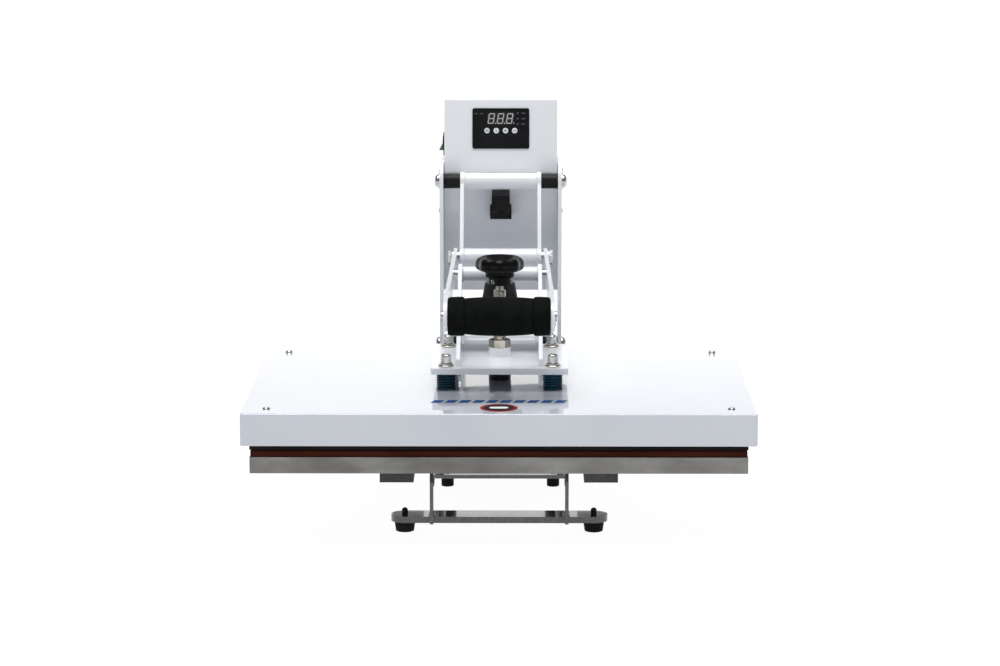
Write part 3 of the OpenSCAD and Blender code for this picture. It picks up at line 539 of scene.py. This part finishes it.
def die_springs():
    """Flat-wire springs with ground ends that stop just short of the plates."""
    lo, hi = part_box("die_springs")
    turns, steps = 6.5, 36
    wire_w, wire_h = 5.2 * MM, 2.35 * MM
    coil_r, end_gap = SPRING_RADIUS - wire_w / 2, 0.05 * MM
    shape = Shape()
    for x, y in bolt_places():
        path = []
        for k in range(int(turns * steps) + 1):
            angle = 2 * math.pi * k / steps
            path.append(Vector((x + coil_r * math.cos(angle), y + coil_r * math.sin(angle),
                                lo.z + (hi.z - lo.z) * k / (turns * steps))))
        shape.sweep(path, rounded_rect(wire_w / 2, wire_h / 2, 0.6 * MM, 2))
    for point in shape.points:
        point.z = min(max(point.z, lo.z + end_gap), hi.z - end_gap)
    obj = piece("flat_wire_springs", shape, SPRING_BLUE, "upper_platen",
                ["die_springs"], smooth=50)
    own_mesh(obj)


def suspension_bolts():
    """Knurled socket-head screws on a split lock washer and a flat washer."""
    lo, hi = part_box("suspension_bolts")
    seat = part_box("mounting_plate")[1].z
    washer_t, lock_t = 2 * MM, 2.5 * MM
    head_z = seat + washer_t + lock_t
    head_h = hi.z - seat - washer_t - lock_t
    head_r, shank_r, hex_r = 6.5 * MM, 4 * MM, 3.0 * MM
    socket = hexed(hex_r, 6 * MM)

    def knurled(radius, height, angle):
        if abs(radius - head_r) < 1e-9:
            return radius - 0.16 * MM * abs(math.sin(angle * 18))
        return socket(radius, height, angle)

    head = [(shank_r, 0), (6.1 * MM, 0), (6.4 * MM, 0.4 * MM), (head_r, 0.8 * MM),
            (head_r, head_h - 2.2 * MM), (6.35 * MM, head_h - 1.8 * MM),
            (6.2 * MM, head_h - 0.8 * MM), (5.4 * MM, head_h), (3.8 * MM, head_h),
            (hex_r, head_h - 0.4 * MM), (hex_r, head_h - 4 * MM)]
    flat = [(4.2 * MM, 0), (9.4 * MM, 0), (9.8 * MM, 0.4 * MM), (9.8 * MM, washer_t - 0.4 * MM),
            (9.4 * MM, washer_t), (4.2 * MM, washer_t), (4.2 * MM, 0)]
    split_r, split_rise, steps = 6.1 * MM, 0.25 * MM, 60
    screws, washers = Shape(), Shape()
    for x, y in bolt_places():
        screws.lathe(head, at(x, y, head_z), steps=108, wave=knurled)
        screws.lathe([(shank_r, 0), (shank_r, head_z + 0.5 * MM - lo.z)], at(x, y, lo.z), steps=32)
        washers.lathe(flat, at(x, y, seat), steps=64)
        path = []
        for k in range(steps + 1):
            a = math.radians(-80 + 350 * k / steps)
            z = seat + washer_t + lock_t / 2 + split_rise * (2 * k / steps - 1)
            path.append(Vector((x + split_r * math.cos(a), y + split_r * math.sin(a), z)))
        washers.sweep(path, rounded_rect(2 * MM, 1.0 * MM, 0.3 * MM, 2))
    piece("socket_head_screws", screws, ZINC, "upper_platen", ["suspension_bolts"],
          smooth=32)
    piece("screw_washers", washers, STAINLESS, "upper_platen")


def spindle():
    """A threaded rod with a plain neck."""
    lo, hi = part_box("spindle_rod")
    mid = (lo + hi) / 2
    pitch, depth, chamfer = 2 * MM, 1.15 * MM, 1.2 * MM
    radius, neck_r, neck_shown = 8 * MM, 5 * MM, 7 * MM
    neck_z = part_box("spindle_collar")[0].z - neck_shown
    step = pitch / 8

    def thread(r, height, angle):
        if r <= neck_r:
            return r
        phase = (height / pitch - angle / (2 * math.pi)) % 1.0
        return r - depth * min(1.0, max(0.0, 2.4 * abs(phase - 0.5) - 0.1))

    rows = int((neck_z - lo.z - chamfer) / step)
    profile = [(radius - chamfer, lo.z)]
    profile += [(radius, lo.z + chamfer + k * step) for k in range(rows + 1)]
    profile += [(radius - chamfer, neck_z), (neck_r, neck_z), (neck_r, hi.z)]
    shape = Shape()
    shape.lathe(profile, at(mid.x, mid.y, 0), steps=40, wave=thread)
    piece("threaded_spindle", shape, STAINLESS, "spindle", ["spindle_rod"], smooth=60)


def hand_knob():
    """A lobed bakelite handwheel with a dished top and a stepped hub."""
    lo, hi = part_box("hand_knob")
    mid = (lo + hi) / 2
    rim, plain_r, lobe_depth, lobes = 31 * MM, 17 * MM, 2.6 * MM, 8
    hub_h = 7 * MM

    def lobed(radius, height, angle):
        grip = max(0.0, (radius - plain_r) / (rim - plain_r))
        hollow = 0.5 - 0.5 * math.cos(lobes * (angle + math.pi / 2))
        return radius - lobe_depth * grip ** 1.5 * hollow

    span = hi.z - lo.z - hub_h
    profile = [(5 * MM, 0), (17.6 * MM, 0), (18.3 * MM, 0.6 * MM), (18.3 * MM, hub_h - 1 * MM),
               (18.8 * MM, hub_h)]
    outer = [(0.66, 0.01), (0.82, 0.05), (0.93, 0.15), (0.985, 0.30), (1.0, 0.48), (0.99, 0.66),
             (0.95, 0.83), (0.88, 0.95), (0.81, 1.0), (0.73, 0.97), (0.62, 0.87), (0.50, 0.76),
             (0.36, 0.68), (0.20, 0.64), (0.05, 0.63)]
    profile += [(rim * r, hub_h + span * z) for r, z in outer]
    shape = Shape()
    shape.lathe(profile, at(mid.x, mid.y, lo.z), steps=128, wave=lobed)
    piece("lobed_handwheel", shape, BAKELITE, "spindle", ["hand_knob"], smooth=40)


def set_screw():
    """The collar's set screw, a bright ring with a hexagon socket, towards the front left."""
    turn = Matrix.Rotation(math.radians(-40), 4, "Z") @ Matrix.Rotation(math.radians(90), 4, "X")
    place = at(*centre("spindle_collar")) @ turn
    hex_r, face = 1.4 * MM, 14.3 * MM
    shape = Shape()
    shape.lathe([(2.9 * MM, face - 4 * MM), (2.9 * MM, face - 0.4 * MM), (2.5 * MM, face),
                 (1.9 * MM, face), (hex_r, face - 0.3 * MM), (hex_r, face - 2.5 * MM)],
                place, steps=36, wave=hexed(hex_r, 2.6 * MM))
    piece("collar_set_screw", shape, ZINC, "spindle")


# ---- handle ---------------------------------------------------------------------------


def foam_grip():
    """A foam tube: a crowned barrel between two collars, each set off by a groove."""
    lo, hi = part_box("foam_grip")
    mid = (lo + hi) / 2
    half, radius = (hi.x - lo.x) / 2, (hi.z - lo.z) / 2
    core, collar, groove, steps = 14 * MM, 20.5 * MM, 1.4 * MM, 14
    barrel = half - collar - groove
    right = [(core, half), (radius - 3.2 * MM, half), (radius - 1.5 * MM, half - 0.7 * MM),
             (radius - 0.6 * MM, half - 2.2 * MM), (radius - 0.2 * MM, half - 6 * MM),
             (radius, half - 12 * MM), (radius, half - collar + 2.5 * MM),
             (radius - 0.4 * MM, half - collar + 1 * MM), (radius - 1.3 * MM, half - collar),
             (radius - 2.2 * MM, half - collar - groove / 2)]
    crown = [(radius - 0.1 * MM - 1.7 * MM * abs(k / steps) ** 2.2, barrel * k / steps)
             for k in range(steps, -steps - 1, -1)]
    left = [(r, -x) for r, x in reversed(right)]
    profile = right + crown + left + [right[0]]
    shape = Shape()
    shape.lathe(profile, at(0, mid.y, mid.z) @ ALONG_X, steps=96)
    obj = piece("foam_grip_sleeve", shape, FOAM, "handle", ["foam_grip"], smooth=60)


# ---- shafts, screws, nuts -------------------------------------------------------------


def shaft(name, node):
    """A plain shaft with a washer and a button head at each end."""
    mid, end = centre(node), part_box(node)[1].x
    hex_r = 2.9 * MM
    right = [(hex_r, end - 3 * MM), (hex_r, end - 0.3 * MM), (4.2 * MM, end),
             (6.2 * MM, end - 0.7 * MM), (7.9 * MM, end - 2.0 * MM), (8.8 * MM, end - 3.6 * MM),
             (9 * MM, end - 4.8 * MM), (9 * MM, end - 5.5 * MM), (10.7 * MM, end - 5.5 * MM),
             (11 * MM, end - 5.8 * MM), (11 * MM, end - 7 * MM), (6 * MM, end - 7 * MM)]
    profile = right + [(r, -x) for r, x in reversed(right)]
    shape = Shape()
    shape.lathe(profile, at(0, mid.y, mid.z) @ ALONG_X, steps=72, wave=hexed(hex_r, 6 * MM))
    piece(name, shape, ZINC, "base", [node])


def foot_studs():
    """Threaded studs with a domed end above the bar, and screw heads on the rear plate."""
    lo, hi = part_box("foot_studs")
    bar_lo, bar_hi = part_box("front_crossbar")
    plate_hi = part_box("rear_plate")[1]
    foot_r, stud_r, pitch, clear = 13.2 * MM, 4 * MM, 1.25 * MM, 0.5 * MM
    front_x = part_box("rubber_feet")[1].x - foot_r
    bar_y, bar_h = (bar_lo.y + bar_hi.y) / 2, bar_hi.z - lo.z
    height = hi.z - lo.z

    def thread(r, z, angle):
        if r < stud_r or z < bar_h + clear:
            return r
        return r - 0.35 * MM * (0.5 + 0.5 * math.cos(2 * math.pi * (z / pitch) - angle))

    profile = [(stud_r, 0)] + [(stud_r, bar_h + k * pitch / 6) for k in range(25)]
    top = profile[-1][1]
    profile += [(stud_r * 0.93 * math.cos(a), top + (height - top) * math.sin(a))
                for a in (math.radians(15 * k) for k in range(1, 6))]
    shape = Shape()
    for x in (-front_x, front_x):
        shape.lathe(profile, at(x, bar_y, lo.z), steps=32, wave=thread)
    rear_x, rear_backs = 70 * MM, (20 * MM, 195 * MM)
    stem_r, head_r, plate_top = 2.5 * MM, 5 * MM, plate_hi.z
    head = [(stem_r, 6 * MM), (stem_r, plate_top), (head_r, plate_top),
            (head_r, plate_top + 1.5 * MM), (3.5 * MM, plate_top + 2.7 * MM),
            (1 * MM, plate_top + 3 * MM)]
    for side in (-1, 1):
        for back in rear_backs:
            shape.lathe(head, at(side * rear_x, plate_hi.y - back, 0), steps=32)
    piece("foot_fasteners", shape, BLACK_OXIDE, "base", ["foot_studs"])


def pan_screws(name, places, material):
    """Small domed screw heads on the base; each place turns the head's Z out of the surface."""
    radius, height = 3.4 * MM, 1.9 * MM
    hex_r = radius * 0.40
    profile = [(radius * 0.9, -0.5 * MM), (radius, 0.2 * MM), (radius * 0.95, height * 0.55),
               (radius * 0.72, height * 0.9), (radius * 0.5, height), (hex_r, height - 0.2 * MM),
               (hex_r, height * 0.3)]
    shape = Shape()
    for place in places:
        shape.lathe(profile, place, steps=36, wave=hexed(hex_r, 2 * hex_r))
    piece(name, shape, material, "base")


def screws_on_covers():
    """Six screws in the rear cover, and two on each side of the column."""
    lo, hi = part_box("rear_cover")
    outward, inset = Matrix.Rotation(math.radians(-90), 4, "X"), 9 * MM
    rear = [at(x, hi.y, z) @ outward for x in (lo.x + inset, hi.x - inset)
            for z in (lo.z + inset, (lo.z + hi.z) / 2, hi.z - inset)]
    pan_screws("rear_cover_screws", rear, BLACK_OXIDE)
    lo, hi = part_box("column_side_right")
    from_front, from_top = 26 * MM, (8 * MM, 62 * MM)
    sides = []
    for sign in (-1, 1):
        face = Matrix.Rotation(math.radians(90 * sign), 4, "Y")
        for drop in from_top:
            sides.append(at(sign * hi.x, lo.y + from_front, hi.z - drop) @ face)
    pan_screws("column_screws", sides, ZINC)


# ---- welds ----------------------------------------------------------------------------

STAND_OFF = 0.3 * MM           # from a plate or a tube to the middle of the weld on it


def bead(shape, path, radius, up=(0, 0, 1)):
    """A weld: a rounded seam with a ripple along it."""
    def section(k):
        return circle(radius * (1 + 0.22 * math.sin(1.9 * k) + 0.1 * math.sin(5 * k)), 10)

    shape.sweep(path, section, up)


def tube_welds(shape, tubes, face_x):
    """Seams round the rear of tubes of (radius, y, z), at their left and right ends."""
    start, end, step = 100, 300, 4
    count = (end - start) // step
    angles = [math.radians(start + (end - start) * k / count) for k in range(count + 1)]
    for radius, y, z in tubes:
        r = radius + STAND_OFF
        for side in (-1, 1):
            path = [Vector((side * (face_x - 0.4 * MM), y + r * math.cos(a), z + r * math.sin(a)))
                    for a in angles]
            bead(shape, path, 1.1 * MM, (1, 0, 0))


def welds():
    """Seams round the tubes, between the arm plates and the plate that they stand on, round the
    screw boss, and between the base's side plates and its front bar."""
    plate_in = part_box("arm_plate_right")[0].x
    fork, arm, base = Shape(), Shape(), Shape()
    lo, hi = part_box("fork_tubes")
    tube_welds(fork, [(11 * MM, hi.y - 11 * MM, hi.z - 11 * MM),
                      (12.5 * MM, lo.y + 12.5 * MM, lo.z + 12.5 * MM)], plate_in)
    lo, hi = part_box("arm_tubes")
    tube_welds(arm, [(9.5 * MM, lo.y + 9.5 * MM, hi.z - 9.5 * MM),
                     (11 * MM, hi.y - 11 * MM, lo.z + 11 * MM)], plate_in)
    plate_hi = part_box("mounting_plate")[1]
    seam_z = plate_hi.z + STAND_OFF
    start, end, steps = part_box("arm_plate_right")[0].y + 4 * MM, plate_hi.y - 3 * MM, 70
    for side in (-1, 1):
        x = side * (plate_in - STAND_OFF)
        bead(arm, [Vector((x, start + (end - start) * k / steps, seam_z))
                   for k in range(steps + 1)], 1.1 * MM)
    boss, boss_r, count = centre("screw_boss"), 14.2 * MM, 90
    bead(arm, [Vector((boss.x + boss_r * math.cos(2 * math.pi * k / count),
                       boss.y + boss_r * math.sin(2 * math.pi * k / count), seam_z))
               for k in range(count + 1)], 0.9 * MM)
    piece("fork_welds", fork, WHITE, "fork", smooth=80)
    piece("arm_welds", arm, WHITE, "platen_arm", smooth=80)
    bar_lo, bar_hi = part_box("front_crossbar")
    seam_start, seam, steps = bar_lo.y + 2 * MM, bar_hi.y - bar_lo.y - 12 * MM, 20
    for node in ("base_side_left", "base_side_right"):
        plate_lo, plate_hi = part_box(node)
        for x in (plate_lo.x - STAND_OFF, plate_hi.x + STAND_OFF):
            bead(base, [Vector((x, seam_start + seam * k / steps, bar_hi.z + STAND_OFF))
                        for k in range(steps + 1)], 1.3 * MM)
    piece("base_welds", base, HAMMERED, "base", smooth=80)


# ---- controls -------------------------------------------------------------------------

LEAN = 12                      # degrees that the control box's face and the panel lean back
FACE_TILT = Matrix.Rotation(math.radians(90 - LEAN), 4, "X")


def on_window(x, y, rise):
    """A frame on the display window's surface: x to the right, y up the face, z out."""
    half_thick = 1.6 * MM
    return at(*centre("display_window")) @ FACE_TILT @ at(x, y, half_thick + rise)


def seven_segments(shape, place, width, height, stroke, slant):
    """An eight made of seven bars that lean to the right."""
    def bar(x0, y0, x1, y1):
        gap, half = 0.25 * MM, stroke / 2
        if abs(y1 - y0) < 1e-9:
            left, right, low, high = x0 + gap, x1 - gap, y0 - half, y0 + half
        else:
            left, right, low, high = x0 - half, x0 + half, y0 + gap, y1 - gap
        corners = ((left, low), (right, low), (right, high), (left, high))
        shape.prism([(x + slant * y, y) for x, y in corners], 0, 0.15 * MM, place)

    half_w, half_h = width / 2 - stroke / 2, height / 2 - stroke / 2
    for level in (-1, 0, 1):
        bar(-half_w, level * half_h, half_w, level * half_h)
    for side in (-1, 1):
        bar(side * half_w, -half_h, side * half_w, 0)
        bar(side * half_w, 0, side * half_w, half_h)


def control_marks():
    """The window's digits and lamps, and the thin frame round the row of buttons."""
    digits, icons, frames = Shape(), Shape(), Shape()
    film, lift = 0.15 * MM, 0.1 * MM
    flat, raised = on_window(0, 0, 0), on_window(0, 0, lift)
    pitch, width, height, stroke = 12.3 * MM, 8.4 * MM, 14.2 * MM, 1.35 * MM
    for k in (-1, 0, 1):
        seven_segments(digits, on_window(k * pitch - 0.5 * MM, 0, 0), width, height, stroke, 0.16)
        point = circle(0.8 * MM, 20, k * pitch + 5.1 * MM, -height / 2 + 0.7 * MM)
        digits.prism(point, 0, film, flat)
    piece("display_digits", digits, SEGMENT_GREY, "base")
    for x, y in ((-33.5, 6.5), (-26, 6.5)):
        icons.prism(rounded_rect(2.4 * MM, 0.8 * MM, 0.7 * MM, 4, x * MM, y * MM), 0, film, raised)
    for row in (7.2, -0.2, -7.4):
        icons.prism(circle(1.5 * MM, 24, 22.6 * MM, row * MM), 0, film, raised)
        icons.prism(rounded_rect(2.8 * MM, 0.8 * MM, 0.7 * MM, 4, 30.2 * MM, row * MM), 0, film,
                    raised)
    piece("status_marks", icons, ICON_GREY, "base")
    half_x, half_y, line, row_y = 25.6 * MM, 6.3 * MM, 0.45 * MM, -16.5 * MM
    low, high = row_y - half_y, row_y + half_y
    for x0, y0, x1, y1 in ((-half_x, high - line, half_x, high),
                           (-half_x, low, half_x, low + line),
                           (-half_x, low + line, -half_x + line, high - line),
                           (half_x - line, low + line, half_x, high - line)):
        frames.box((x0, y0, 0), (x1, y1, film), raised)
    piece("button_frame", frames, FRAME_GREY, "base")


def button_marks():
    """Small plain symbols on the push buttons, as bars of (x0, y0, x1, y1) in mm."""
    symbols = {
        1: [(-2.0, 0.4, 2.0, 1.0), (-2.0, -1.0, 2.0, -0.4)],
        2: [(-0.4, -1.6, 0.4, 1.6)],
        3: [(-1.6, -0.4, 1.6, 0.4), (-0.4, -1.4, 0.4, 1.4)],
        4: [(-2.2, -0.5, -0.4, 0.5), (0.4, -0.5, 2.2, 0.5)],
    }
    half_length, film = 3.8 * MM, 0.12 * MM
    for i, bars in symbols.items():
        node = "button_%d" % i
        place = at(*centre(node)) @ FACE_TILT @ at(0, 0, half_length)
        shape = Shape()
        for x0, y0, x1, y1 in bars:
            shape.box((x0 * MM, y0 * MM, 0), (x1 * MM, y1 * MM, film), place)
        piece("button_%d_mark" % i, shape, ICON_GREY, node)


def sensor_screws():
    """Rings of the two screws that hold the sensor block."""
    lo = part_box("sensor_block")[0]
    out = Matrix.Rotation(math.radians(90) + math.radians(LEAN), 4, "X")
    inner, outer, height = 2.2 * MM, 3.3 * MM, 0.8 * MM
    ring = [(inner, 0), (outer, 0), (outer, 0.5 * MM), (2.9 * MM, height), (inner, height),
            (inner, 0)]
    screw_x, from_front, up = 7.9 * MM, 6.6 * MM, 14 * MM
    shape = Shape()
    for x in (-screw_x, screw_x):
        shape.lathe(ring, at(x, lo.y + from_front, lo.z + up) @ out, steps=40)
    piece("sensor_screw_rings", shape, BLACK_OXIDE, "base")


def inlet_blades():
    """The inlet's three contacts, each with a narrower tip."""
    mid, back = centre("mains_inlet"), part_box("mains_inlet")[1].y
    inner, outer, tip = back - 17.5 * MM, back - 2.5 * MM, 1 * MM
    broad = rounded_rect(1.0 * MM, 2.0 * MM, 0.3 * MM, 3)
    narrow = rounded_rect(0.6 * MM, 1.5 * MM, 0.3 * MM, 3)
    shape = Shape()
    for x, z in ((-7, -2), (0, 2), (7, -2)):
        path = [Vector((mid.x + x * MM, y, mid.z + z * MM)) for y in (inner, outer - tip, outer)]
        shape.sweep(path, lambda k: narrow if k == 2 else broad)
    piece("inlet_blades", shape, STAINLESS, "base")


platen_cover()
cover_prints()
soft_slab("silicone_sponge_pad", "silicone_pad", SILICONE, "base",
          swell=0.35 * MM, corner=1.6 * MM, waves=7)
soft_slab("fibre_blanket", "insulation", FIBRE, "upper_platen",
          swell=1.6 * MM, corner=3.0 * MM, waves=11)
die_springs()
suspension_bolts()
spindle()
hand_knob()
set_screw()
foam_grip()
shaft("top_pivot_shaft", "top_shaft")
shaft("main_hinge_shaft", "main_shaft")
foot_studs()
screws_on_covers()
welds()
control_marks()
button_marks()
sensor_screws()
inlet_blades()
